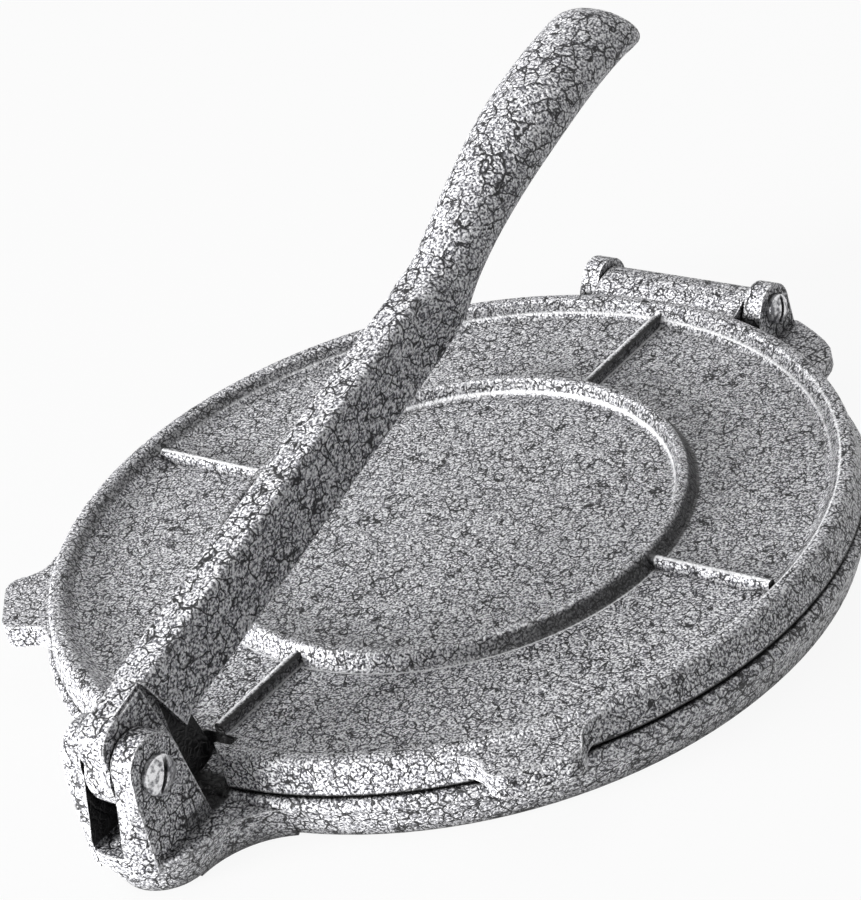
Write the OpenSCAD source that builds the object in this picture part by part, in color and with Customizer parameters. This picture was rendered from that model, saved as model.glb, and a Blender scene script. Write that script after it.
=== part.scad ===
// Cast-iron tortilla press: a lower plate with a lever clevis in front and a
// hinge behind, an upper plate with a stiffening ring and ribs, and a lever
// whose nose drops into a notch in the upper plate's rim.
//
// Frame: the plates' common axis is x = y = 0, z = 0 is the table, +Y runs
// from the lever clevis to the plate hinge, +Z is up. Millimetres.

/* [Lower plate] */
// Height of the working face above the table
base_h = 12.6; // [11:0.2:16]
// How far the lower plate's edge stands out from the upper plate
base_lip = 1.5; // [1:0.5:3]
// How far the skirt draws in towards the table
base_draft = 4; // [2:0.5:5]
// Thickness of the lower plate under its working face
base_web = 5; // [4:0.2:6]
// Thickness of the skirt at the table
skirt_t = 5; // [4:0.5:7]
// Radius of the rounded edge above the skirt
base_edge_r = 2; // [1:0.25:3]
// Radius of the hub that stands on the table under the centre
hub_r = 14; // [8:1:20]
// Width of the ribs under the plate
under_rib_w = 4; // [3:0.5:6]

/* [Upper plate] */
// Radius of the upper plate at its underside
plate_r = 100; // [99:0.5:100.5]
// Clearance between the two working faces when closed
plate_gap = 0.6; // [0.3:0.1:1.2]
// Thickness of the upper plate inside its rim
web_t = 4.6; // [4:0.2:6]
// Height of the rim and the ring above the upper plate's floor
rim_h = 4; // [3:0.25:5]
// Width of the rim's rounded top
rim_top_w = 4.4; // [3.5:0.2:6]
// Width of the slope from the rim's top to the floor
rim_slope_w = 3.2; // [2:0.2:4]
// Middle radius of the stiffening ring
ring_r = 57.8; // [50:0.5:62]
// Width of the ring's crest
ring_top_w = 2.4; // [2:0.2:4]
// Width of the slope on each side of the ring
ring_slope_w = 1.5; // [1:0.1:2.5]
// Width of the four radial ribs
rib_w = 2.6; // [2:0.2:4]
// Height of the radial ribs above the floor
rib_h = 2.8; // [2:0.2:3]

/* [Lift tabs] */
// Angle of the right lift tab from the lever's line
tab_right_angle = 46.7; // [44:0.5:54]
// Angle of the left lift tab from the lever's line
tab_left_angle = 50.7; // [44:0.5:54]
// Width of a lift tab
tab_w = 22; // [18:0.5:26]
// How far a tab reaches past the upper plate
tab_reach = 10; // [7:0.5:12]
// Thickness of a tab
tab_t = 6; // [5:0.5:7]
// Radius of a tab's outer corners
tab_corner_r = 4.5; // [3:0.5:6]
// Radius of the fillets at a tab's root
tab_root_r = 8; // [5:0.5:9]

/* [Lever clevis] */
// How far the lever's pivot stands out in front of the upper plate's edge
pivot_out = 18; // [17:0.2:19]
// Height of the lever's pivot above the table
pivot_z = 31.2; // [30.6:0.2:32]
// Width of the slot between the ears
slot_w = 8.8; // [8.6:0.1:9.2]
// Thickness of each ear
ear_t = 6; // [5:0.5:6.5]
// Radius of the ears' rounded tops
ear_r = 7.5; // [7:0.1:8]
// Height of the bridge that joins the ears
bridge_h = 14; // [12.8:0.2:15]
// Height of the ledge round the ears' foot
ledge_h = 11.4; // [10:0.2:12]
// Radius of the round foot at its ledge
foot_top_r = 16; // [15:0.25:17]
// Radius of the round foot at the table
foot_low_r = 10.4; // [9:0.2:12]
// Radius of the fillets where the foot flows into the skirt, at the table
foot_root_r = 22; // [16:0.5:24]

/* [Lever] */
// Thickness of the lever's head
head_t = 8; // [7.6:0.1:8.2]
// Radius of the lever's head below its pivot
head_r = 8.9; // [8.4:0.1:9.4]
// Radius of the lever's head above its pivot
head_top_r = 7.3; // [6.8:0.1:7.6]
// Thickness of the lever's bar
bar_t = 9.2; // [8.6:0.2:10]
// Depth of the lever's bar
bar_d = 18.4; // [17:0.2:19]
// Radius of the bar's long edges
bar_edge_r = 1.3; // [0.8:0.1:2]
// Rise of the bar above the horizontal, in degrees
bar_rise = 15; // [14.5:0.1:15.5]
// Length of the bar from the pivot to where the handle bends up
bar_len = 126.6; // [110:0.2:140]
// Thickness of the nose
nose_t = 5; // [4:0.2:6.5]
// Length of the nose below the pivot, square to the bar
nose_len = 17.7; // [16:0.1:19]

/* [Handle] */
// Rise of the handle where it leaves the bar, in degrees
neck_rise = 33; // [28:1:36]
// Length of the bend from the bar to the handle
neck_len = 20; // [16:1:26]
// Rise of the handle at its tip, in degrees
tip_rise = 4; // [0:1:12]
// Length of the curved handle
grip_len = 83.5; // [70:0.5:90]
// Half of the handle's width at its tip
grip_a = 11.4; // [9:0.2:12.5]
// Half of the handle's thickness at its tip
grip_b = 7.7; // [6.5:0.1:9]

/* [Plate hinge] */
// How far the hinge pin stands out behind the upper plate's edge
hinge_out = 5.8; // [4.6:0.2:6]
// Height of the hinge pin above the table
hinge_z = 19.3; // [19:0.1:20.5]
// Width of the upper plate's tongue
tongue_w = 44.4; // [40:0.4:48]
// Gap between the tongue and each hinge ear
tongue_gap = 0.6; // [0.4:0.1:1.2]
// How far the tongue's curved back edge stands out behind the pin
tongue_back = 3.2; // [3:0.1:3.6]
// Radius of the tongue's barrel about the pin
barrel_r = 4.4; // [4.2:0.1:4.8]
// Height of the tongue's top above its pin
tongue_rise = 4.5; // [4:0.1:5]
// Thickness of the platform under the hinge ears
platform_t = 6.2; // [5:0.2:9]
// Thickness of that platform's edge
platform_edge = 3.4; // [3:0.2:5]
// Thickness of each hinge ear
hinge_ear_t = 5.2; // [4.5:0.1:7]
// Radius of the hinge ears' rounded tops
hinge_ear_r = 6.5; // [6:0.1:7]

/* [Bolts] */
// Diameter of the lever's bolt
lever_bolt_d = 5; // [4.8:0.1:5.2]
// Diameter of the head of the lever's bolt
lever_head_d = 9.4; // [8.5:0.1:9.5]
// Height of the head of the lever's bolt
lever_head_h = 2.8; // [2.4:0.1:3.6]
// Diameter of the hinge's bolt
hinge_bolt_d = 4; // [3.8:0.1:4.2]
// Diameter of the head of the hinge's bolt
hinge_head_d = 7.6; // [7:0.1:8]
// Height of the head of the hinge's bolt
hinge_head_h = 2.5; // [1.8:0.1:3.2]
// Width of the slot in each head
bolt_slot_w = 1.2; // [1:0.1:1.4]
// Radial clearance between a bolt and what turns on it
turn_clear = 0.1; // [0.05:0.01:0.1]
// Radial clearance between a bolt and the ears that hold it
ear_clear = 0.1; // [0.05:0.05:0.2]
// How far a bolt's end stands out of the far ear
bolt_over = 0.4; // [0.2:0.1:1]

/* [Hidden] */
$fn = 96;

eps = 0.05;                 // overlap that fuses the solids of one casting
far = 400;                  // longer than anything in the press
iron = "#a4a4a6";           // hammered silver paint
steel = "#c9cacc";          // zinc-plated fasteners

// Heights and radii that follow from the plates' own sizes
base_r = plate_r + base_lip;
pivot_y = plate_r + pivot_out;
hinge_y = plate_r + hinge_out;
tongue_r = hinge_y + tongue_back;
base_foot_r = base_r - base_draft;
under_z = base_h + plate_gap;
floor_z = under_z + web_t;
rim_z = floor_z + rim_h;
rim_draft = 1.2;
rim_edge_r = 1.6;
rim_out_r = plate_r - rim_draft;
rim_in_r = rim_out_r - rim_top_w;
rim_foot_r = rim_in_r - rim_slope_w;
ring_foot_in = ring_r - ring_top_w / 2 - ring_slope_w;
ring_foot_out = ring_r + ring_top_w / 2 + ring_slope_w;
ring_edge_r = 0.8;

// The notch in the upper plate's rim, in front
notch_w = bar_t + 1.2;
notch_back_y = -(plate_r - 11.5);
notch_mouth_w = 23;
notch_throat_y = -(rim_in_r + 1.2);

// Ears of the lever clevis, and the round foot that they stand on
ear_out = slot_w / 2 + ear_t;
ear_x = -(pivot_y - 0.2);
ear_z = pivot_z + 2;
foot_y = -(pivot_y - 4.5);
ledge_edge_r = 0.9;

// Ears of the plate hinge
hinge_ear_in = tongue_w / 2 + tongue_gap;
hinge_ear_out = hinge_ear_in + hinge_ear_t;
hinge_ear_front_y = hinge_y - 7.7;
platform_h = base_h - 1.2;
platform_back_y = hinge_y + 7.4;

// The lever, in its own frame: s along the bar from the pivot, t square to it
bar_top_t = 13.6;
bar_low_t = bar_top_t - bar_d;
bar_mid_t = (bar_top_t + bar_low_t) / 2;
head_at = [0.7, -0.9];
head_top_at = [1.6, 6.1];
nose_s0 = 11.9;
nose_s1 = 20.1;
nose_tip_r = 2;
bar_front_s = 15.4;         // where the bar's raked front crosses the pivot's line
bar_rake = 11.1;            // and its rake in degrees

// A round arc as points
function arc(cx, cy, r, a0, a1, n = 8) =
    [for (i = [0:n]) let (a = a0 + (a1 - a0) * i / n)
        [cx + r * cos(a), cy + r * sin(a)]];

// Point and heading at a distance along a bend of constant radius
function bend_point(p, heading, turn, len, d) =
    turn == 0 ? p + d * [cos(heading), sin(heading)] :
    let (r = len / (turn * PI / 180), a = turn * d / len)
    p + r * [sin(heading + a) - sin(heading), cos(heading) - cos(heading + a)];

function smooth(u) = u * u * (3 - 2 * u);
function mix(a, b, u) = a + (b - a) * u;

// Bends a sheet of points about the plate axis
module revolve(points) rotate_extrude($fn = 180) polygon(points);

// Extrudes a side view (y, z) across x, centred on the lever's line
module side_slab(thick) rotate([90, 0, 90]) linear_extrude(thick, center = true) children();

// Turns a solid along z into one along x
module along_x() rotate([0, 90, 0]) children();

module rounded_rect(w, h, r) {
    square([w - 2 * r, h], center = true);
    square([w, h - 2 * r], center = true);
    for (sx = [-1, 1], sy = [-1, 1])
        translate([sx * (w / 2 - r), sy * (h / 2 - r)]) circle(r, $fn = 32);
}

// ---- lower plate ----------------------------------------------------------

module base_dish() revolve(concat(
    [[0, base_h - base_web]],
    [[base_foot_r - skirt_t - 0.5, base_h - base_web]],
    [[base_foot_r - skirt_t, 0.4], [base_foot_r - skirt_t + 0.4, 0]],
    [[base_foot_r - 0.8, 0], [base_foot_r, 0.8]],
    arc(base_r - base_edge_r, base_h - base_edge_r, base_edge_r, -12, 90, 8),
    [[0, base_h]]));

// Ring, ribs and hub that stiffen the underside
module base_underside() {
    reach = base_foot_r - skirt_t + 1;
    difference() {
        union() {
            cylinder(r = hub_r, h = base_h - base_web + eps);
            translate([0, 0, 1.2]) {
                for (a = [0, 90]) rotate(a)
                    translate([-reach, -under_rib_w / 2, 0])
                        cube([2 * reach, under_rib_w, base_h - base_web - 1.2 + eps]);
                difference() {
                    cylinder(r = ring_r + under_rib_w / 2, h = base_h - base_web - 1.2 + eps);
                    translate([0, 0, -1]) cylinder(r = ring_r - under_rib_w / 2, h = base_h);
                }
            }
        }
    }
}

// The round foot under the ears, which narrows towards the table
module clevis_foot() {
    r = ledge_edge_r;
    slope = (foot_top_r - foot_low_r) / ledge_h;
    edge = foot_top_r - slope * r;
    translate([0, foot_y, 0]) rotate_extrude($fn = 128) polygon(concat(
        [[0, 0], [foot_low_r - 0.6, 0], [foot_low_r + 0.3, 0.7]],
        arc(edge - r, ledge_h - r, r, -20, 90, 6),
        [[0, ledge_h]]));
    // its straight flanks run back into the skirt
    translate([0, -base_foot_r + 4, 0]) rotate([90, 0, 0])
        linear_extrude(-foot_y - base_foot_r + 4) polygon(concat(
            [[-foot_low_r + 0.6, 0], [foot_low_r - 0.6, 0], [foot_low_r + 0.3, 0.7]],
            arc(edge - r, ledge_h - r, r, -20, 90, 6),
            arc(r - edge, ledge_h - r, r, 90, 200, 6),
            [[-foot_low_r - 0.3, 0.7]]));
    // concave roots on both sides, tangent to the drafted skirt at every height
    root_h = ledge_h - ledge_edge_r;
    root_top_r = foot_root_r - base_draft * root_h / (base_h - base_edge_r);
    cx = foot_low_r + foot_root_r;
    cy = sqrt(pow(base_foot_r + foot_root_r - 0.3, 2) - cx * cx);
    difference() {
        linear_extrude(root_h) polygon([[0, -base_foot_r / 2], [cx, -cy], [-cx, -cy]]);
        for (s = [-1, 1]) translate([s * cx, -cy, 0]) {
            translate([0, 0, -eps]) cylinder(r = foot_root_r, h = 2 * eps, $fn = 128);
            cylinder(r1 = foot_root_r, r2 = root_top_r, h = root_h, $fn = 128);
            translate([0, 0, root_h - eps]) cylinder(r = root_top_r, h = 1, $fn = 128);
        }
        translate([0, 0, -1]) cylinder(r = base_foot_r - skirt_t + 1, h = ledge_h + 2);
    }
}

// Side view of one clevis ear: its front flares towards the foot
module ear_outline() {
    polygon(concat(
        [[ear_x + 14, ledge_h - 2], [-pivot_y - 12.6, ledge_h - 2], [-pivot_y - 12.2, ledge_h + 0.8],
         [-pivot_y - 11.2, ledge_h + 4.1], [-pivot_y - 9.7, pivot_z - 10.2], [-pivot_y - 8.5, pivot_z - 4.7]],
        arc(ear_x, ear_z, ear_r, 190, 8, 24),
        [[ear_x + 11.4, ledge_h + 1.4], [ear_x + 12.4, ledge_h + 0.3], [ear_x + 14, ledge_h - 0.1]]));
}

// Side view of the bridge between the ears
module bridge_outline() {
    polygon([[-base_r + 2, 2], [-base_r - 2, 2], [-base_r - 4, ledge_h - 1],
             [-pivot_y - 12.6, ledge_h - 1], [-pivot_y - 12.6, bridge_h - 1],
             [-pivot_y - 11.6, bridge_h], [-plate_r - 5, bridge_h], [-plate_r - 3, base_h - 1],
             [-base_r + 2, base_h - 1]]);
}

module clevis() {
    difference() {
        union() {
            clevis_foot();
            intersection() {
                union() {
                    for (s = [-1, 1]) translate([s * (slot_w / 2 + ear_t / 2), 0, 0])
                        side_slab(ear_t) ear_outline();
                    side_slab(slot_w + 1) bridge_outline();
                }
                union() {
                    translate([0, foot_y, 1]) cylinder(r = foot_top_r, h = far, $fn = 128);
                    translate([-foot_top_r, foot_y, 1]) cube([2 * foot_top_r, far, far]);
                }
            }
        }
        translate([-far / 2, -pivot_y, pivot_z]) along_x()
            cylinder(d = lever_bolt_d + 2 * ear_clear, h = far);
    }
}

// Plan of the platform that carries the hinge ears
module platform_outline(inset) {
    back = platform_back_y;
    out = hinge_ear_out;
    edge = [[out + 1, back], [out + 4, back - 1.5], [out + 7.8, back - 3.5], [out + 12.9, back - 6.6],
            [out + 16.3, back - 9.4], [out + 17.9, back - 11.5], [out + 19.1, back - 14.4],
            [out + 19.9, back - 19], [out + 19.6, back - 26]];
    half = [for (p = edge) [p[0] - inset, p[1] - inset / 2]];
    difference() {
        polygon(concat(half, [for (i = [len(half) - 1:-1:0]) [-half[i][0], half[i][1]]]));
        circle(r = base_foot_r - skirt_t + 1);
    }
}

// Side view of one hinge ear
module hinge_ear_outline() {
    polygon(concat(
        [[platform_back_y - 0.3, platform_h - 3], [platform_back_y - 0.3, platform_h]],
        [[hinge_y + hinge_ear_r + 0.3, hinge_z - 4.2]],
        arc(hinge_y, hinge_z, hinge_ear_r, -4, 132, 18),
        [[hinge_ear_front_y + 0.5, hinge_z + 0.8], [hinge_ear_front_y, hinge_z - 0.6],
         [hinge_ear_front_y, platform_h - 3]]));
}

module hinge_stand() {
    difference() {
        union() {
            translate([0, 0, platform_h - platform_edge]) linear_extrude(platform_edge) platform_outline(0);
            translate([0, 0, platform_h - platform_t]) linear_extrude(platform_t - 1) platform_outline(3);
            for (s = [-1, 1]) translate([s * (hinge_ear_in + hinge_ear_t / 2), 0, 0])
                side_slab(hinge_ear_t) hinge_ear_outline();
        }
        translate([-far / 2, hinge_y, hinge_z]) along_x()
            cylinder(d = hinge_bolt_d + 2 * ear_clear, h = far);
    }
}

module base_plate() color(iron) {
    base_dish();
    base_underside();
    clevis();
    hinge_stand();
}

// ---- upper plate ----------------------------------------------------------

module plate_disc() revolve(concat(
    [[0, under_z], [plate_r - 0.4, under_z], [plate_r, under_z + 0.4]],
    arc(rim_out_r - rim_edge_r, rim_z - rim_edge_r, rim_edge_r, 8, 90, 6),
    arc(rim_in_r + rim_edge_r, rim_z - rim_edge_r, rim_edge_r, 90, 130, 4),
    [[rim_foot_r + 0.4, floor_z + 0.3], [rim_foot_r - 0.6, floor_z]],
    [[ring_foot_out + 0.6, floor_z], [ring_foot_out, floor_z + 0.3]],
    arc(ring_r + ring_top_w / 2 - ring_edge_r, rim_z - ring_edge_r, ring_edge_r, 20, 90, 4),
    arc(ring_r - ring_top_w / 2 + ring_edge_r, rim_z - ring_edge_r, ring_edge_r, 90, 160, 4),
    [[ring_foot_in, floor_z + 0.3], [ring_foot_in - 0.6, floor_z]],
    [[0, floor_z]]));

// One radial rib with a rounded crest, from the ring to the rim
module plate_rib() {
    len = rim_foot_r + 1.2 - ring_r;
    translate([ring_r, 0, floor_z - eps]) rotate([90, 0, 90]) linear_extrude(len) {
        translate([-rib_w / 2, 0]) square([rib_w, rib_h - rib_w / 2 + eps]);
        translate([0, rib_h - rib_w / 2 + eps]) circle(d = rib_w, $fn = 24);
    }
}

// Plan of a lift tab that points along +X
module tab_outline() {
    root = tab_root_r;
    rim = plate_r - 0.6;
    reach = plate_r + tab_reach;
    cy = tab_w / 2 + root;
    cx = sqrt(pow(rim + root, 2) - cy * cy);
    inner = rim_in_r + 1;
    difference() {
        union() {
            translate([inner, -tab_w / 2]) square([reach - tab_corner_r - inner, tab_w]);
            translate([inner, -tab_w / 2 + tab_corner_r])
                square([reach - inner, tab_w - 2 * tab_corner_r]);
            for (s = [-1, 1]) translate([reach - tab_corner_r, s * (tab_w / 2 - tab_corner_r)])
                circle(tab_corner_r);
            polygon([[0, 0], [cx, cy], [cx, -cy]]);
        }
        for (s = [-1, 1]) translate([cx, s * cy]) circle(root);
        circle(r = inner);
    }
}

// Side view of the tongue: a ramp from the rim up to the hinge
module tongue_outline() {
    top = hinge_z + tongue_rise;
    polygon(concat(
        [[rim_in_r, under_z], [hinge_y - 6, under_z]],
        [[hinge_y, hinge_z - barrel_r], [tongue_r + 1, hinge_z - barrel_r + 1]],
        [[tongue_r + 1, hinge_z], [tongue_r + 1, top - 2.2]],
        [[tongue_r - 0.2, top - 1.3], [tongue_r - 1.2, top - 0.5], [tongue_r - 2.8, top - 0.1]],
        [[hinge_y - 2, top], [hinge_y - 5, top - 0.6], [rim_out_r - 1.2, rim_z - 0.1],
         [rim_in_r + 1, rim_z - 0.4], [rim_in_r, rim_z - 1]]));
}

module tongue() {
    intersection() {
        side_slab(tongue_w) tongue_outline();
        translate([0, 0, under_z - 1]) cylinder(r = tongue_r, h = 30, $fn = 180);
    }
    translate([-tongue_w / 2, hinge_y, hinge_z]) along_x() cylinder(r = barrel_r, h = tongue_w);
}

module notch_outline() {
    corner = 2;
    half = notch_w / 2;
    translate([-half, -far]) square([2 * half, far + notch_back_y - corner]);
    translate([-half + corner, -far]) square([2 * (half - corner), far + notch_back_y]);
    for (s = [-1, 1]) translate([s * (half - corner), notch_back_y - corner]) circle(corner, $fn = 32);
    polygon([[-half, notch_throat_y], [half, notch_throat_y],
             [notch_mouth_w / 2, -plate_r - 0.6], [-notch_mouth_w / 2, -plate_r - 0.6]]);
}

module top_plate() color(iron) difference() {
    union() {
        plate_disc();
        for (a = [0, 90, 180, 270]) rotate(a) plate_rib();
        for (a = [tab_right_angle, -tab_left_angle]) rotate(a - 90)
            translate([0, 0, rim_z - 1.2 - tab_t]) linear_extrude(tab_t) tab_outline();
        tongue();
    }
    translate([0, 0, -1]) linear_extrude(far) notch_outline();
    translate([-far / 2, hinge_y, hinge_z]) along_x()
        cylinder(d = hinge_bolt_d + 2 * turn_clear, h = far);
}

// ---- lever ----------------------------------------------------------------

// Places a shape drawn in the lever's own frame, where x stays x
module on_lever() translate([0, -pivot_y, pivot_z]) rotate([bar_rise, 0, 0]) children();

// A disc of the head, its rims chamfered
module head_disc(at, r) translate([-head_t / 2, at[0], at[1]]) along_x() rotate_extrude($fn = 96)
    polygon([[0, 0], [r - 0.9, 0], [r - 0.25, 0.25], [r, 0.9], [r, head_t - 0.9],
             [r - 0.25, head_t - 0.25], [r - 0.9, head_t], [0, head_t]]);

// Fills the head between its discs and the nose
module head_web() {
    c = 0.9;
    front = head_top_at[0] - head_top_r;
    low = head_at[0] - head_r;
    rotate([90, 0, 90]) {
        translate([0, 0, -head_t / 2]) linear_extrude(head_t)
            polygon([[low + c + 0.15, head_at[1]], [head_at[0], head_at[1] - head_r + c],
                     [nose_s0, head_at[1] - head_r + c + 1], [nose_s0, bar_top_t - c],
                     [head_top_at[0], bar_top_t - c], [front + c + 0.1, head_top_at[1]]]);
        translate([0, 0, c - head_t / 2]) linear_extrude(head_t - 2 * c)
            polygon([[low, head_at[1]], [head_at[0], head_at[1] - head_r], [nose_s0, head_at[1] - head_r + 1],
                     [nose_s0 + 4, bar_top_t - 0.2], [head_top_at[0], bar_top_t - 0.2],
                     [front, head_top_at[1]]]);
    }
}

module lever_head() {
    head_disc(head_at, head_r);
    head_disc(head_top_at, head_top_r);
    head_web();
}

// The bar: a deep section with rounded edges, its front end raked
module lever_bar() {
    difference() {
        translate([0, 0, bar_mid_t]) rotate([-90, 0, 0])
            linear_extrude(bar_len + 4) rounded_rect(bar_t, bar_d, bar_edge_r);
        translate([0, bar_front_s, 0]) rotate([bar_rake, 0, 0])
            translate([-far / 2, -far, -far / 2]) cube([far, far, far]);
    }
    // heel under its front end
    rotate([90, 0, 90]) translate([0, 0, 0.8 - bar_t / 2]) linear_extrude(bar_t - 1.6)
        polygon([[bar_front_s + 1, bar_low_t + 1], [bar_front_s + 1.5, bar_low_t - 1.3],
                 [bar_front_s + 4.8, bar_low_t + 0.1], [bar_front_s + 4.8, bar_low_t + 1]]);
}

// The nose that drops into the plate's notch, square to the bar
module lever_nose() side_slab(nose_t) {
    r = nose_tip_r;
    translate([nose_s0, -nose_len]) square([nose_s1 - nose_s0, nose_len + bar_top_t - 1.5]);
    translate([nose_s0 + r, -nose_len - r]) square([nose_s1 - nose_s0 - 2 * r, r + 1]);
    for (s = [nose_s0 + r, nose_s1 - r]) translate([s, -nose_len]) circle(r, $fn = 32);
}

// Where the handle's centre line runs, in (s, t)
neck_turn = neck_rise - bar_rise;
grip_turn = tip_rise - neck_rise;
neck_start = [bar_len, bar_mid_t];
grip_start = bend_point(neck_start, 0, neck_turn, neck_len, neck_len);
path_len = neck_len + grip_len;
function grip_point(d) = d < neck_len ? bend_point(neck_start, 0, neck_turn, neck_len, d)
    : bend_point(grip_start, neck_turn, grip_turn, grip_len, d - neck_len);
function grip_heading(d) = d < neck_len ? neck_turn * d / neck_len
    : neck_turn + grip_turn * (d - neck_len) / grip_len;

// Half width, half depth and squareness of the handle's section
root_a = bar_t / 2;
root_b = bar_d / 2;
neck_a = 8;
neck_b = 8;
tip_drop = 0.95;              // share of its half depth by which the tip leans down
cap_len = 12;               // over which its depth rounds off
cap_wide = 6.5;             // over which its width rounds off
function cap(d, len, n) = d < path_len - len ? 1
    : pow(max(0, 1 - pow((d - path_len + len) / (len + 0.03), n)), 1 / n);
function cap_scale(d) = cap(d, cap_len, 2.2);
function half_w(d) = cap(d, cap_wide, 2.8) * (d < neck_len
    ? mix(root_a, neck_a, 1 - pow(1 - d / neck_len, 2))
    : mix(neck_a, grip_a, smooth(min(1, (d - neck_len) / 50))));
function half_d(d) = cap_scale(d) * (d < neck_len
    ? mix(root_b, neck_b, smooth(d / neck_len))
    : mix(neck_b, grip_b, (d - neck_len) / grip_len));
function section_power(d) = mix(5, 2, smooth(min(1, d / neck_len)));

sides = 28;
steps = concat([for (d = [-3:2.5:path_len - cap_len]) d],
               [for (i = [1:9]) path_len - cap_len + cap_len * sin(i * 9.9)]);
function section(d) = let (p = grip_point(max(0, d)), h = grip_heading(max(0, d)),
        back = min(0, d), a = half_w(max(0, d)), b = half_d(max(0, d)),
        drop = tip_drop * grip_b * (1 - cap_scale(d)),
        m = 2 / section_power(max(0, d)))
    [for (i = [0:sides - 1]) let (q = 360 * i / sides,
            u = a * sign(cos(q)) * pow(abs(cos(q)), m),
            v = b * sign(sin(q)) * pow(abs(sin(q)), m) - drop)
        [u, p[0] + back - v * sin(h), p[1] + v * cos(h)]];

module lever_handle() {
    rings = [for (d = steps) section(d)];
    n = len(rings);
    end = grip_point(path_len);
    h = grip_heading(path_len);
    drop = tip_drop * grip_b;
    tip = [end[0] + drop * sin(h), end[1] - drop * cos(h)];
    points = concat([for (r = rings) for (p = r) p], [[0, tip[0], tip[1]]]);
    faces = concat(
        [[for (i = [0:sides - 1]) sides - 1 - i]],
        [for (k = [0:n - 2]) for (i = [0:sides - 1]) let (j = (i + 1) % sides)
            each [[k * sides + i, k * sides + j, (k + 1) * sides + j],
                  [k * sides + i, (k + 1) * sides + j, (k + 1) * sides + i]]],
        [for (i = [0:sides - 1]) [(n - 1) * sides + i, (n - 1) * sides + (i + 1) % sides, n * sides]]);
    polyhedron(points, faces);
}

module lever() color(iron) difference() {
    on_lever() {
        lever_head();
        lever_bar();
        lever_nose();
        lever_handle();
    }
    translate([-far / 2, -pivot_y, pivot_z]) along_x()
        cylinder(d = lever_bolt_d + 2 * turn_clear, h = far);
}

// ---- fasteners ------------------------------------------------------------

// A bolt with a slotted, crowned head that seats at x = 0; its shank runs to -X
module slotted_bolt(d, head_d, head_h, len, slot_turn) color(steel) rotate([slot_turn, 0, 0]) {
    rotate([0, -90, 0]) cylinder(d = d, h = len - 0.5);
    translate([-len + 0.5, 0, 0]) rotate([0, -90, 0]) cylinder(d1 = d, d2 = d - 1, h = 0.5);
    rim = head_h * 0.6;
    crown = head_h - rim;
    half = head_d / 2 - 0.3;
    crown_r = (half * half + crown * crown) / (2 * crown);
    reach = asin(half / crown_r);
    difference() {
        rotate([90, 0, 90]) rotate_extrude() polygon(concat(
            [[0, -eps], [d / 2, -eps], [d / 2, 0], [head_d / 2 - 0.1, 0], [head_d / 2, 0.1],
             [head_d / 2, rim - 0.3]],
            [for (i = [0:8]) let (a = reach * (1 - i / 8))
                [crown_r * sin(a), head_h - crown_r * (1 - cos(a))]]));
        translate([head_h - 1.2, -head_d, -bolt_slot_w / 2]) cube([head_h, 2 * head_d, bolt_slot_w]);
    }
}

module lever_bolt() translate([ear_out, -pivot_y, pivot_z])
    slotted_bolt(lever_bolt_d, lever_head_d, lever_head_h, 2 * ear_out + bolt_over, 60);
module hinge_bolt() translate([hinge_ear_out, hinge_y, hinge_z])
    slotted_bolt(hinge_bolt_d, hinge_head_d, hinge_head_h, 2 * hinge_ear_out + bolt_over, 68);

base_plate();
top_plate();
lever();
lever_bolt();
hinge_bolt();
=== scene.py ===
# %% [markdown]
# # Cast-iron tortilla press
# Two round plates hinged at the back, and a long lever that turns in a clevis
# in front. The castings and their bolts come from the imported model. This
# lesson gives them hammered silver paint and zinc-plated steel, and then
# sets the floor, the light and the camera of the photograph.

# %%
import math

import bmesh
import bpy
from mathutils import Matrix, Vector

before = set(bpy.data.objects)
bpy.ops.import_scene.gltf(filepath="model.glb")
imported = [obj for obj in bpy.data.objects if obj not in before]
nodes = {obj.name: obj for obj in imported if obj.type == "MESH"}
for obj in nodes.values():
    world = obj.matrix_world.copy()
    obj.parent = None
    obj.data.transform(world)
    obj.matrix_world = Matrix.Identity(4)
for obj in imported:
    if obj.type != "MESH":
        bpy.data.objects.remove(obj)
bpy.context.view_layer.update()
scene = bpy.context.scene
print("pieces:", ", ".join(nodes))

# %% [markdown]
# ## Colours and nodes
# Colours are written as sRGB hex codes, as a picture editor shows them, and
# Blender needs them linear. One helper adds a node, sets its properties and
# fills its inputs, by a link where it is given a socket and else by a value.

# %%
def srgb(code):
    """The linear colour of a hex code."""
    parts = [int(code[i:i + 2], 16) / 255 for i in (1, 3, 5)]
    return tuple(c / 12.92 if c <= 0.04045 else ((c + 0.055) / 1.055) ** 2.4 for c in parts) + (1,)


def add(tree, kind, inputs=(), **settings):
    """Add a node to a tree with its settings and inputs."""
    node = tree.nodes.new(kind)
    for key, value in settings.items():
        setattr(node, key, value)
    for key, value in dict(inputs).items():
        if isinstance(value, bpy.types.NodeSocket):
            tree.links.new(value, node.inputs[key])
        else:
            node.inputs[key].default_value = value
    return node


def new_material(name):
    """A material, its tree, its shader and its object coordinates."""
    mat = bpy.data.materials.new(name)
    mat.use_nodes = True
    tree = mat.node_tree
    return mat, tree, tree.nodes["Principled BSDF"], add(tree, "ShaderNodeTexCoord").outputs["Object"]


# %% [markdown]
# ## Hammered silver paint
# Hammered paint is a leafing silver enamel with a little silicone in it. It
# draws back into islands while it dries, and the dark coat below shows
# between them. The eye sees three sizes: a broken net of black veins a little
# over 3 mm apart, worm-like strokes about 1.5 mm apart, and a speckle of light
# and dark flakes of about half a millimetre. It could be a photograph of the
# paint, but a pattern made from real sizes fits every face of the castings
# without a seam.

# %%
FLAKE = 0.17         # speckle of the silver flakes, as a share of a cell
STROKE = 0.46        # spacing of the worm-like strokes, as a share of a cell
STROKE_W = 0.040     # their half width, as a share of the noise's height
WANDER = 0.0016      # how far the veins stray from straight lines, in metres


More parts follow.
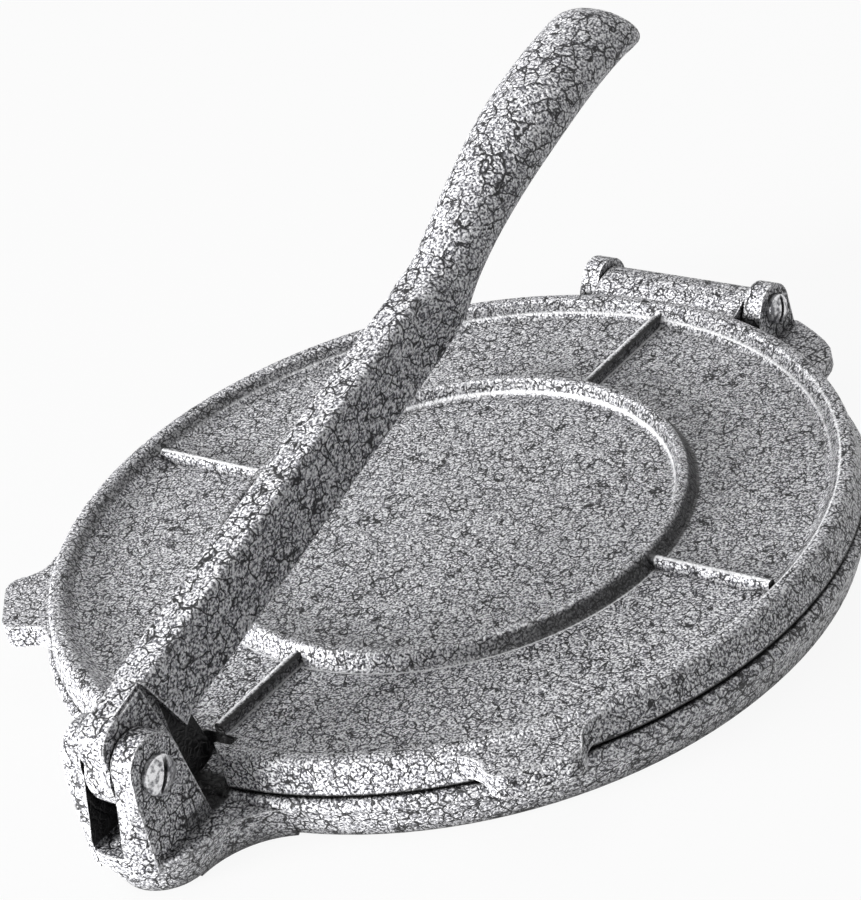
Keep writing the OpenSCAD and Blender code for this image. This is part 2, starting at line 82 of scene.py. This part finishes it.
def paint_pattern(tree, where, cell, vein_half):
    """Flake speckle, black veins and height of the paint, each from 0 to 1."""
    drift = add(tree, "ShaderNodeTexNoise",
                {"Vector": where, "Scale": 0.9 / WANDER, "Detail": 1.0}).outputs["Color"]
    moved = add(tree, "ShaderNodeVectorMath", {0: drift, 1: (WANDER,) * 3, 2: where},
                operation="MULTIPLY_ADD").outputs[0]
    flake = add(tree, "ShaderNodeTexNoise",
                {"Vector": where, "Scale": 1 / (FLAKE * cell), "Detail": 1.0}).outputs["Fac"]
    gaps = add(tree, "ShaderNodeTexNoise",
               {"Vector": where, "Scale": 0.8 / cell, "Detail": 1.0}).outputs["Fac"]

    # veins: the borders of cells, thinner or gone where the gap noise is low
    border = add(tree, "ShaderNodeTexVoronoi", {"Vector": moved, "Scale": 1 / cell},
                 feature="DISTANCE_TO_EDGE").outputs["Distance"]
    width = add(tree, "ShaderNodeMapRange", {"Value": gaps, "From Min": 0.40, "From Max": 0.52,
                "To Min": 0.01, "To Max": vein_half / cell}).outputs["Result"]
    ratio = add(tree, "ShaderNodeMath", {0: border, 1: width}, operation="DIVIDE").outputs[0]
    vein = add(tree, "ShaderNodeMapRange", {"Value": ratio, "From Min": 0.5, "From Max": 1.3,
               "To Min": 1.0, "To Max": 0.0}).outputs["Result"]

    # strokes: the middle height of a smooth noise, drawn as a thin line
    wave = add(tree, "ShaderNodeTexNoise",
               {"Vector": moved, "Scale": 1 / (STROKE * cell), "Detail": 0.0}).outputs["Fac"]
    off = add(tree, "ShaderNodeMath", {0: wave, 1: 0.5}, operation="SUBTRACT").outputs[0]
    off = add(tree, "ShaderNodeMath", {0: off}, operation="ABSOLUTE").outputs[0]
    stroke = add(tree, "ShaderNodeMapRange", {"Value": off, "From Min": STROKE_W * 0.4,
                 "From Max": STROKE_W, "To Min": 1.0, "To Max": 0.0}).outputs["Result"]
    broken = add(tree, "ShaderNodeMapRange", {"Value": flake, "From Min": 0.40, "From Max": 0.56,
                 "To Min": 1.0, "To Max": 0.3}).outputs["Result"]
    stroke = add(tree, "ShaderNodeMath", {0: stroke, 1: broken}, operation="MULTIPLY").outputs[0]
    dark = add(tree, "ShaderNodeMath", {0: vein, 1: stroke}, operation="MAXIMUM").outputs[0]
    rise = add(tree, "ShaderNodeMapRange", {"Value": off, "From Min": 0.0,
               "From Max": 0.16}).outputs["Result"]
    height = add(tree, "ShaderNodeMath", {0: rise, 1: dark}, operation="SUBTRACT").outputs[0]
    return flake, dark, height


# %% [markdown]
# The paint itself. Silver is light where flakes lie flat and greyer between
# them. Narrow gaps between the castings get painted shade, found by how open
# the surface is. Casting edges get a painted highlight, found where a rounded
# normal would differ from the true one. It is enamel with a little metal in
# it, so it stays almost a plain paint in its shine.

# %%
CORNER = 0.006       # how far a corner of the castings holds shade, in metres
HIGHLIGHT_EDGE_R = 0.0009      # radius of the rounded edges that get the painted highlight


def hammered(name, cell, vein_half, shaded, bright=None):
    """The paint with veins a cell apart, with painted shade in corners and where shaded is 1, and a painted
    highlight on edges and where bright is 1.
    """
    mat, tree, shader, where = new_material(name)
    flake, dark, height = paint_pattern(tree, where, cell, vein_half)
    silver = add(tree, "ShaderNodeValToRGB", {"Fac": flake})
    stops = silver.color_ramp.elements
    stops[0].position, stops[0].color = 0.39, srgb("#48484e")
    stops[1].position, stops[1].color = 0.62, srgb("#f6f6f8")
    middle = stops.new(0.49)
    middle.color = srgb("#b4b4b9")
    colour = add(tree, "ShaderNodeMix", {"Factor": dark, 6: silver.outputs["Color"], 7: srgb("#0d0d10")},
                 data_type="RGBA").outputs[2]

    # painted highlight on the edges, only where nothing stands near
    open_air = add(tree, "ShaderNodeAmbientOcclusion", {"Distance": CORNER}, samples=8).outputs["AO"]
    round_n = add(tree, "ShaderNodeBevel", {"Radius": HIGHLIGHT_EDGE_R}, samples=4).outputs["Normal"]
    true_n = add(tree, "ShaderNodeNewGeometry").outputs["Normal"]
    bend = add(tree, "ShaderNodeVectorMath", {0: round_n, 1: true_n},
               operation="DOT_PRODUCT").outputs["Value"]
    edge = add(tree, "ShaderNodeMapRange", {"Value": bend, "From Min": 0.985,
               "From Max": 0.93}).outputs["Result"]
    highlight_reach = add(tree, "ShaderNodeMapRange", {"Value": open_air, "From Min": 0.70, "From Max": 0.90,
               "To Min": 0.0, "To Max": 0.6}).outputs["Result"]
    edge = add(tree, "ShaderNodeMath", {0: edge, 1: highlight_reach}, operation="MULTIPLY").outputs[0]
    if bright:
        edge = add(tree, "ShaderNodeMath", {0: edge, 1: bright(tree, where)}, operation="MAXIMUM").outputs[0]
    colour = add(tree, "ShaderNodeMix", {"Factor": edge, 6: colour, 7: srgb("#f4f4f6")},
                 data_type="RGBA").outputs[2]

    # painted shade, in corners and where the shaded masks say
    shade = add(tree, "ShaderNodeMapRange", {"Value": open_air, "From Min": 0.20, "From Max": 0.86,
                "To Min": 1.0, "To Max": 0.0}, interpolation_type="SMOOTHSTEP").outputs["Result"]
    shade = add(tree, "ShaderNodeMath", {0: shade, 1: shaded(tree, where)}, operation="MAXIMUM").outputs[0]
    colour = add(tree, "ShaderNodeMix", {"Factor": shade, 6: colour, 7: srgb("#050506")},
                 data_type="RGBA").outputs[2]
    tree.links.new(colour, shader.inputs["Base Color"])
    shader.inputs["Metallic"].default_value = 0.08
    rough = add(tree, "ShaderNodeMapRange", {"Value": dark, "To Min": 0.40, "To Max": 0.62}).outputs["Result"]
    tree.links.new(rough, shader.inputs["Roughness"])
    bump = add(tree, "ShaderNodeBump", {"Height": height, "Strength": 0.6, "Distance": 0.00022})
    tree.links.new(bump.outputs["Normal"], shader.inputs["Normal"])
    return mat


# %% [markdown]
# ## Painted shade
# The lever's nose, the notch it works in and the slot of the clevis lie in
# black shadow in the photograph, deeper than soft light gives. So the paint
# is black there too. This is a stand-in for the photograph's light and not
# the real colour. Soft masks in the object's own coordinates say where, so
# it doesn't slide in other views, but it also stays when a piece turns. It
# could be left to the lamps alone, and a later scene with hard light should
# do that. The nose's box lies along the bar, which rises from the clevis bolt.

# %%
PIVOT_Y, PIVOT_Z, BAR_RISE = -0.118, 0.0312, math.radians(15)


def highest(tree, masks):
    """The largest of several masks."""
    top = masks[0]
    for mask in masks[1:]:
        top = add(tree, "ShaderNodeMath", {0: top, 1: mask}, operation="MAXIMUM").outputs[0]
    return top


def box_mask(tree, where, low, high, soft=0.0006):
    """1 inside a box and 0 outside, with soft borders."""
    axes = add(tree, "ShaderNodeSeparateXYZ", {"Vector": where}).outputs
    mask = 1.0
    for axis, lo, hi in zip(axes, low, high):
        for edge, side in ((lo, 1), (hi, -1)):
            part = add(tree, "ShaderNodeMapRange", {"Value": axis, "From Min": edge - side * soft,
                       "From Max": edge + side * soft}, interpolation_type="SMOOTHSTEP").outputs["Result"]
            mask = add(tree, "ShaderNodeMath", {0: mask, 1: part}, operation="MULTIPLY").outputs[0]
    return mask


def nose_shade_mask(tree, where):
    """Painted shade on the lever's nose, in a frame that runs along the bar from the pivot."""
    turned = add(tree, "ShaderNodeVectorRotate", {"Vector": where, "Center": (0, PIVOT_Y, PIVOT_Z),
                 "Angle": -BAR_RISE}, rotation_type="X_AXIS").outputs["Vector"]
    return box_mask(tree, turned, (-0.0031, PIVOT_Y + 0.0092, PIVOT_Z - 0.024),
                    (0.0031, PIVOT_Y + 0.0215, PIVOT_Z + 0.012))


def clevis_shade(tree, where):
    """Painted shade in the slot between the clevis ears, and on the lower plate under the notch."""
    bridge = box_mask(tree, where, (-0.0045, -0.1145, 0.0108), (0.0105, -0.0955, 0.0160), 0.0008)
    slot = box_mask(tree, where, (-0.0046, -0.1330, 0.0150), (0.0046, -0.1030, 0.0450), 0.0002)
    return highest(tree, [bridge, slot])


# %% [markdown]
# The upper plate's rim and ring are low walls on its floor. The photograph
# shows them as thin bands: a bright line where a crest or a foot catches the
# lamp, and a dark one where a wall turns away from it. Soft light leaves them
# weak, so they are painted on as well, again as a stand-in. Each band is an
# arc about the plates' axis, strongest towards one heading and gone on the
# far side.

# %%
FLOOR_Z = 0.0172     # just below the upper plate's floor
SHADED_ARCS = (      # inner and outer radius, softness, heading, strength
    (0.0590, 0.0612, 0.0003, (0.97, 0.25, 0), 0.90),     # outside of the ring, right
    (0.0556, 0.0567, 0.0002, (-0.10, 1.00, 0), 0.50),    # inside of the ring, behind, its upper half
    (0.0928, 0.0948, 0.0003, (-0.95, 0.30, 0), 0.60),    # inside of the rim, left
    (0.0928, 0.0948, 0.0003, (0.90, 0.45, 0), 0.45),     # inside of the rim, right
    (0.0535, 0.0550, 0.0014, (-0.10, 1.00, 0), 0.45),    # floor inside the ring, behind
    (0.0905, 0.0925, 0.0014, (-0.10, 1.00, 0), 0.50))    # floor inside the rim, behind
# painted highlight arcs, with the same columns as above
HIGHLIGHT_ARCS = (
    (0.0552, 0.0556, 0.0002, (0, 1, 0), 0.9),            # inner foot of the ring, behind
    (0.0564, 0.0568, 0.0002, (0.2, -1, 0), 0.8),         # crest of the ring, in front
    (0.0612, 0.0617, 0.0002, (0.5, -0.85, 0), 0.9),      # outer foot of the ring, in front
    (0.0926, 0.0931, 0.0002, (-0.2, 1, 0), 0.8),         # foot of the rim, behind
    (0.0950, 0.0955, 0.0002, (1, -0.2, 0), 0.7))         # crest of the rim, right


def polar(tree, where):
    """Distance from the plates' axis, and the heading from it."""
    flat = add(tree, "ShaderNodeVectorMath", {0: where, 1: (1, 1, 0)}, operation="MULTIPLY").outputs[0]
    radius = add(tree, "ShaderNodeVectorMath", {0: flat}, operation="LENGTH").outputs["Value"]
    return radius, add(tree, "ShaderNodeVectorMath", {0: flat}, operation="NORMALIZE").outputs[0]


def arc_masks(tree, where, arcs):
    """A mask for each arc, on the upper plate's top side."""
    radius, heading = polar(tree, where)
    height = add(tree, "ShaderNodeSeparateXYZ", {"Vector": where}).outputs["Z"]
    above = add(tree, "ShaderNodeMath", {0: height, 1: FLOOR_Z}, operation="GREATER_THAN").outputs[0]
    masks = []
    for inner, outer, soft, toward, strength in arcs:
        rise = add(tree, "ShaderNodeMapRange", {"Value": radius, "From Min": inner - soft,
                   "From Max": inner + soft}, interpolation_type="SMOOTHSTEP").outputs["Result"]
        fall = add(tree, "ShaderNodeMapRange", {"Value": radius, "From Min": outer + soft,
                   "From Max": outer - soft}, interpolation_type="SMOOTHSTEP").outputs["Result"]
        facing = add(tree, "ShaderNodeVectorMath", {0: heading, 1: toward},
                     operation="DOT_PRODUCT").outputs["Value"]
        facing = add(tree, "ShaderNodeMapRange", {"Value": facing, "From Min": 0.1, "From Max": 0.75,
                     "To Max": strength}, interpolation_type="SMOOTHSTEP").outputs["Result"]
        mask = above
        for part in (rise, fall, facing):
            mask = add(tree, "ShaderNodeMath", {0: mask, 1: part}, operation="MULTIPLY").outputs[0]
        masks.append(mask)
    return masks


# %% [markdown]
# The two ribs in the lever's line get painted shade on one side, and a
# painted highlight on the crest and in a line at the foot; the two ribs across
# it get only the crest highlight. The notch gets painted shade inside, up to
# just below the rim's top, and so does the plate's lower edge at the gap.

# %%
RIB_SPANS = ((-0.0945, -0.0595), (0.0595, 0.0945))    # from the ring to the rim, both ways
NOTCH_TOP, NOTCH_FRONT, NOTCH_LOW = 0.0209, -0.104, 0.010


def along_ribs(tree, where, x_span, z_span, soft=0.0002):
    """A strip on each of the two ribs in the lever's line."""
    (x0, x1), (z0, z1) = x_span, z_span
    return [box_mask(tree, where, (x0, y0, z0), (x1, y1, z1), soft) for y0, y1 in RIB_SPANS]


def plate_shade(tree, where):
    """Painted shade: the notch, the shaded sides of ribs, ring and rim, and the plate's lower edge at the
    gap.
    """
    slot = box_mask(tree, where, (-0.0053, NOTCH_FRONT, NOTCH_LOW), (0.0053, -0.0883, NOTCH_TOP), 0.0001)
    mouth = box_mask(tree, where, (-0.0113, NOTCH_FRONT, NOTCH_LOW), (0.0053, -0.0955, NOTCH_TOP), 0.0001)
    masks = [slot, mouth] + along_ribs(tree, where, (0.0005, 0.0014), (0.0182, 0.0206), 0.0003)
    masks += arc_masks(tree, where, SHADED_ARCS)
    radius, _ = polar(tree, where)
    outer = add(tree, "ShaderNodeMapRange", {"Value": radius, "From Min": 0.0988,
                "From Max": 0.0992}).outputs["Result"]
    height = add(tree, "ShaderNodeSeparateXYZ", {"Vector": where}).outputs["Z"]
    low = add(tree, "ShaderNodeMapRange", {"Value": height, "From Min": 0.0137, "From Max": 0.0142,
              "To Min": 1.0, "To Max": 0.0}).outputs["Result"]
    masks.append(add(tree, "ShaderNodeMath", {0: outer, 1: low}, operation="MULTIPLY").outputs[0])
    return highest(tree, masks)


def crests(tree, where):
    """Painted highlights on the crests and feet of the upper plate's ribs, ring and rim."""
    masks = arc_masks(tree, where, HIGHLIGHT_ARCS)
    masks += along_ribs(tree, where, (-0.0008, 0.0002), (0.0195, 0.0209))
    masks += along_ribs(tree, where, (0.0014, 0.0021), (0.0175, 0.0183))
    for x0, x1 in RIB_SPANS:
        masks.append(box_mask(tree, where, (x0, -0.0006, 0.0195), (x1, 0.0002, 0.0209), 0.0002))
    return highest(tree, masks)


# %% [markdown]
# ## Zinc-plated steel
# The two slotted bolts are bright plated steel with darker smudges of about a
# millimetre, and painted shade in their slots.

# %%
def plated_steel(name):
    """Bright zinc on steel, smudged, with painted shade in the slot."""
    mat, tree, shader, where = new_material(name)
    smudges = add(tree, "ShaderNodeTexNoise", {"Vector": where, "Scale": 700.0, "Detail": 2.0}).outputs["Fac"]
    tone = add(tree, "ShaderNodeValToRGB", {"Fac": smudges})
    stops = tone.color_ramp.elements
    stops[0].position, stops[0].color = 0.38, srgb("#6e6e72")
    stops[1].position, stops[1].color = 0.56, srgb("#e6e6e8")
    # painted shade: dark in tight recesses such as the slot
    open_air = add(tree, "ShaderNodeAmbientOcclusion", {"Distance": 0.0018}, samples=8).outputs["AO"]
    slot_shade = add(tree, "ShaderNodeMapRange", {"Value": open_air, "From Min": 0.25, "From Max": 0.75,
               "To Min": 1.0, "To Max": 0.0}).outputs["Result"]
    colour = add(tree, "ShaderNodeMix", {"Factor": slot_shade, 6: tone.outputs["Color"], 7: srgb("#0a0a0b")},
                 data_type="RGBA").outputs[2]
    tree.links.new(colour, shader.inputs["Base Color"])
    shader.inputs["Metallic"].default_value = 0.85
    rough = add(tree, "ShaderNodeMapRange", {"Value": smudges, "From Min": 0.3, "From Max": 0.7,
                "To Min": 0.42, "To Max": 0.24}).outputs["Result"]
    tree.links.new(rough, shader.inputs["Roughness"])
    bump = add(tree, "ShaderNodeBump", {"Height": smudges, "Strength": 0.3, "Distance": 0.0002})
    tree.links.new(bump.outputs["Normal"], shader.inputs["Normal"])
    return mat


# %% [markdown]
# ## Dressing the pieces
# The lever and the lower plate stand steep and show the wide veins. The
# upper plate lies flat, where the paint settled into smaller cells.

# %%
dress = {"base_plate": hammered("hammered_silver_skirt", 0.0034, 0.00023, clevis_shade),
         "top_plate": hammered("hammered_silver_plate", 0.0032, 0.00015, plate_shade, crests),
         "lever": hammered("hammered_silver_lever", 0.0036, 0.00023, nose_shade_mask)}
steel = plated_steel("zinc_plated_steel")
for name, obj in nodes.items():
    obj.data.materials.clear()
    obj.data.materials.append(dress.get(name, steel))
    print(name, "wears", obj.data.materials[0].name)

# %% [markdown]
# ## Floor
# A plain pale sheet, a hair below the feet. The camera and shiny faces see it
# mostly as white, so the shadows on it stay faint. Light that falls on it
# and bounces up meets a light grey.

# %%
FLOOR_WHITE = 0.92   # share of plain white that the camera sees


def looking_rays(tree):
    """1 for the camera's rays and those that mirrors and glass send on."""
    rays = add(tree, "ShaderNodeLightPath").outputs
    return highest(tree, [rays["Is Camera Ray"], rays["Is Glossy Ray"], rays["Is Transmission Ray"]])


floor_mesh = bpy.data.meshes.new("floor")
bm = bmesh.new()
bmesh.ops.create_grid(bm, x_segments=1, y_segments=1, size=1.6)
bm.to_mesh(floor_mesh)
bm.free()
floor = bpy.data.objects.new("floor", floor_mesh)
floor.location.z = -0.0004
scene.collection.objects.link(floor)
white, tree, shader, _ = new_material("floor_white")
shader.inputs["Base Color"].default_value = srgb("#cdcdcd")
shader.inputs["Roughness"].default_value = 0.9
glow = add(tree, "ShaderNodeEmission", {"Color": srgb("#ffffff")})
share = add(tree, "ShaderNodeMath", {0: looking_rays(tree), 1: FLOOR_WHITE}, operation="MULTIPLY").outputs[0]
blend = add(tree, "ShaderNodeMixShader", {0: share, 1: shader.outputs[0], 2: glow.outputs[0]})
tree.links.new(blend.outputs[0], tree.nodes["Material Output"].inputs["Surface"])
floor_mesh.materials.append(white)
print("floor", tuple(round(v, 2) for v in floor.dimensions))

# %% [markdown]
# ## Light
# A pale room that is dark on the right in front, one broad soft lamp low on
# the left in front, and a faint one above. The low lamp makes the faces
# towards it almost white and only grazes the flat ones. The dark side of the
# room leaves the walls towards it grey, as in the photograph.

# %%
DARK_SIDE = (0.86, -0.50, 0.10)      # the way to the room's dark side
ROOM, ROOM_DARK = 0.46, 0.12         # light from the room and from that side
world = bpy.data.worlds.new("studio")
scene.world = world
world.use_nodes = True
tree = world.node_tree
sky = add(tree, "ShaderNodeTexCoord").outputs["Generated"]
turned = add(tree, "ShaderNodeVectorMath", {0: sky, 1: DARK_SIDE}, operation="DOT_PRODUCT").outputs["Value"]
level = add(tree, "ShaderNodeMapRange", {"Value": turned, "From Min": 0.25, "From Max": 0.75,
            "To Min": ROOM, "To Max": ROOM_DARK}).outputs["Result"]
level = add(tree, "ShaderNodeMath", {0: level, 1: looking_rays(tree)}, operation="MAXIMUM").outputs[0]
tree.links.new(level, tree.nodes["Background"].inputs["Strength"])
tree.nodes["Background"].inputs["Color"].default_value = srgb("#ffffff")


def lamp(name, place, target, size, power):
    """A square soft light that looks at a target."""
    data = bpy.data.lights.new(name, "AREA")
    data.shape = "SQUARE"
    data.size = size
    data.energy = power
    obj = bpy.data.objects.new(name, data)
    obj.location = place
    obj.rotation_euler = (Vector(target) - Vector(place)).to_track_quat("-Z", "Y").to_euler()
    scene.collection.objects.link(obj)
    print(name, "at", place, "with", power, "W")


lamp("key", (-1.00, -1.95, 0.30), (0, 0, 0.02), 1.0, 150)
lamp("top", (-0.1, 0.1, 1.1), (0, 0, 0), 0.9, 2)

# %% [markdown]
# ## Camera
# It looks over the clevis from the right, tilted as the photograph is. Its
# place was found by fitting the plates' circles, ribs and tabs.

# %%
TURN, RISE, ROLL = 44.2246, 30.5082, -14.7614     # degrees
DISTANCE = 0.8239
AIM_SIDE, AIM_OVER, AIM_Z = 0.000052, 0.013885, 0.0218

turn, rise, roll = (math.radians(a) for a in (TURN, RISE, ROLL))
back = Vector((math.sin(turn) * math.cos(rise), -math.cos(turn) * math.cos(rise), math.sin(rise)))
side = Vector((math.cos(turn), math.sin(turn), 0))
over = back.cross(side)
cam_x = math.cos(roll) * side + math.sin(roll) * over
cam_y = math.cos(roll) * over - math.sin(roll) * side
place = DISTANCE * back + AIM_SIDE * side + AIM_OVER * over + Vector((0, 0, AIM_Z))
cam_data = bpy.data.cameras.new("camera")
cam_data.lens = 137.44
cam_data.sensor_width = 36
camera = bpy.data.objects.new("camera", cam_data)
camera.matrix_world = Matrix.Translation(place) @ Matrix((cam_x, cam_y, back)).transposed().to_4x4()
scene.collection.objects.link(camera)
scene.camera = camera
scene.view_settings.view_transform = "Standard"
print("camera", tuple(round(v, 3) for v in place), "lens", cam_data.lens)
